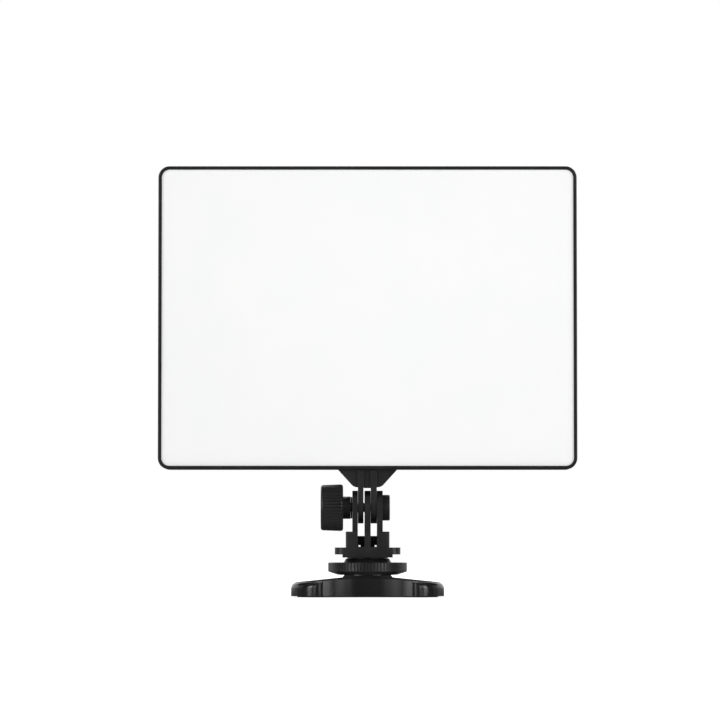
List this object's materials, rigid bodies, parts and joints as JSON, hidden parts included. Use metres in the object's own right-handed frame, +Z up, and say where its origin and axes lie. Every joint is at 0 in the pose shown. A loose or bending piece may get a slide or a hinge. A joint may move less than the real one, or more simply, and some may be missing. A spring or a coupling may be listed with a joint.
{
  "type": "led panel light",
  "caption": "Edge-lit rectangular LED soft light with a rear battery plate, on a tilting finger hinge and a shoe adapter over a waisted table stand.",
  "frame": {"origin": "on the table, at the bottom centre of the whole object, under the stand's axis", "axes": "+Z up, +Y to the rear, so the lit face looks towards -Y; +X to the right seen from the front, along the tilt hinge's bolt"},
  "size_m": [0.202, 0.0428, 0.2078],
  "materials": {
    "shell_gloss": "glossy moulded ABS",
    "black_matte": "fine moulded texture",
    "bezel_black": "satin black moulding",
    "cover_black": "spark-eroded texture",
    "mount_nylon": "glass-filled nylon",
    "rubber_black": "matt rubber",
    "opal_diffuser": "satin opal acrylic",
    "clear_acrylic": "polished",
    "white_film": "white reflective film",
    "led_phosphor": "phosphor resin",
    "circuit_board": "solder mask",
    "chip_black": "epoxy package",
    "plate_aluminium": "milled sheet",
    "steel_zinc": "zinc plated",
    "black_screw": "black oxide",
    "brass_turned": "turned brass",
    "display_glass": "tinted acrylic",
    "key_grey": "silicone key",
    "catch_red": "moulded"
  },
  "bodies": {
    "stand_base": {"base_shell": "shell_gloss", "base_cover": "black_matte", "foot_pad": "rubber_black", "ballast_plates": "steel_zinc", "base_screws": "steel_zinc", "shoe_socket": "black_matte", "shoe_screws": "steel_zinc", "tripod_insert": "brass_turned"},
    "shoe_adapter": {"shoe_foot": "black_matte", "lock_stud": "steel_zinc"},
    "wheel_carrier": {"wheel_pad": "rubber_black"},
    "lock_wheel": {"lock_wheel": "mount_nylon"},
    "finger_mount": {"prong_mount": "mount_nylon", "thread_insert": "brass_turned", "captive_nut": "steel_zinc"},
    "screw_carrier": {"thumb_washer": "black_screw"},
    "thumb_screw": {"thumb_knob": "mount_nylon", "thumb_bolt": "steel_zinc"},
    "lamp_head": {"front_bezel": "bezel_black", "diffuser": "opal_diffuser", "brightness_film": "white_film", "light_guide": "clear_acrylic", "reflector_sheet": "white_film", "led_strip_top": "circuit_board", "led_strip_bottom": "circuit_board", "led_chips_top": "led_phosphor", "led_chips_bottom": "led_phosphor", "heat_plate": "plate_aluminium", "rear_cover": "cover_black", "cover_screws": "black_screw", "driver_board": "circuit_board", "board_parts": "chip_black", "board_standoffs": "brass_turned", "control_board": "circuit_board", "tact_switches": "chip_black", "display_module": "chip_black", "display_window": "display_glass", "dc_jack": "black_matte", "dc_pin": "steel_zinc", "battery_plate": "black_matte", "plate_screws": "black_screw", "battery_contacts": "brass_turned", "yoke_bracket": "mount_nylon", "yoke_plate": "steel_zinc", "yoke_screws": "steel_zinc"},
    "battery_catch": {"battery_catch": "catch_red"},
    "minus_button": {"minus_button": "key_grey"},
    "plus_button": {"plus_button": "key_grey"},
    "power_button": {"power_button": "key_grey"},
    "mode_button": {"mode_button": "key_grey"}
  },
  "joints": [
    {"name": "shoe_slide", "type": "slide", "parent": "stand_base", "child": "shoe_adapter", "axis": [0, 1, 0], "range_m": [0, 0.028]},
    {"name": "wheel_lift", "type": "slide", "parent": "shoe_adapter", "child": "wheel_carrier", "axis": [0, 0, 1], "range_m": [0, 0.00042]},
    {"name": "wheel_turn", "type": "hinge", "parent": "wheel_carrier", "child": "lock_wheel", "pos_m": [0, 0, 0.0145], "axis": [0, 0, 1], "range_deg": [0, 120]},
    {"name": "pan_swivel", "type": "hinge", "parent": "shoe_adapter", "child": "finger_mount", "pos_m": [0, 0, 0.0225], "axis": [0, 0, 1], "range_deg": [-90, 90]},
    {"name": "screw_backout", "type": "slide", "parent": "finger_mount", "child": "screw_carrier", "axis": [-1, 0, 0], "range_m": [0, 0.0016]},
    {"name": "screw_turn", "type": "hinge", "parent": "screw_carrier", "child": "thumb_screw", "pos_m": [-0.015, 0, 0.04305], "axis": [-1, 0, 0], "range_deg": [0, 720]},
    {"name": "tilt_hinge", "type": "hinge", "parent": "finger_mount", "child": "lamp_head", "pos_m": [0, 0, 0.04305], "axis": [1, 0, 0], "range_deg": [-90, 90]},
    {"name": "catch_press", "type": "slide", "parent": "lamp_head", "child": "battery_catch", "axis": [0, -1, 0], "range_m": [0, 0.0012], "stiffness_N_per_m": 700},
    {"name": "minus_press", "type": "slide", "parent": "lamp_head", "child": "minus_button", "axis": [0, -1, 0], "range_m": [0, 0.0006], "stiffness_N_per_m": 1000},
    {"name": "plus_press", "type": "slide", "parent": "lamp_head", "child": "plus_button", "axis": [0, -1, 0], "range_m": [0, 0.0006], "stiffness_N_per_m": 1000},
    {"name": "power_press", "type": "slide", "parent": "lamp_head", "child": "power_button", "axis": [0, -1, 0], "range_m": [0, 0.0006], "stiffness_N_per_m": 1000},
    {"name": "mode_press", "type": "slide", "parent": "lamp_head", "child": "mode_button", "axis": [0, -1, 0], "range_m": [0, 0.0006], "stiffness_N_per_m": 1000}
  ],
  "couplings": [
    {"joint": "wheel_turn", "follows": "wheel_lift", "rad_per_m": 4947.4},
    {"joint": "screw_turn", "follows": "screw_backout", "rad_per_m": 7854}
  ]
}
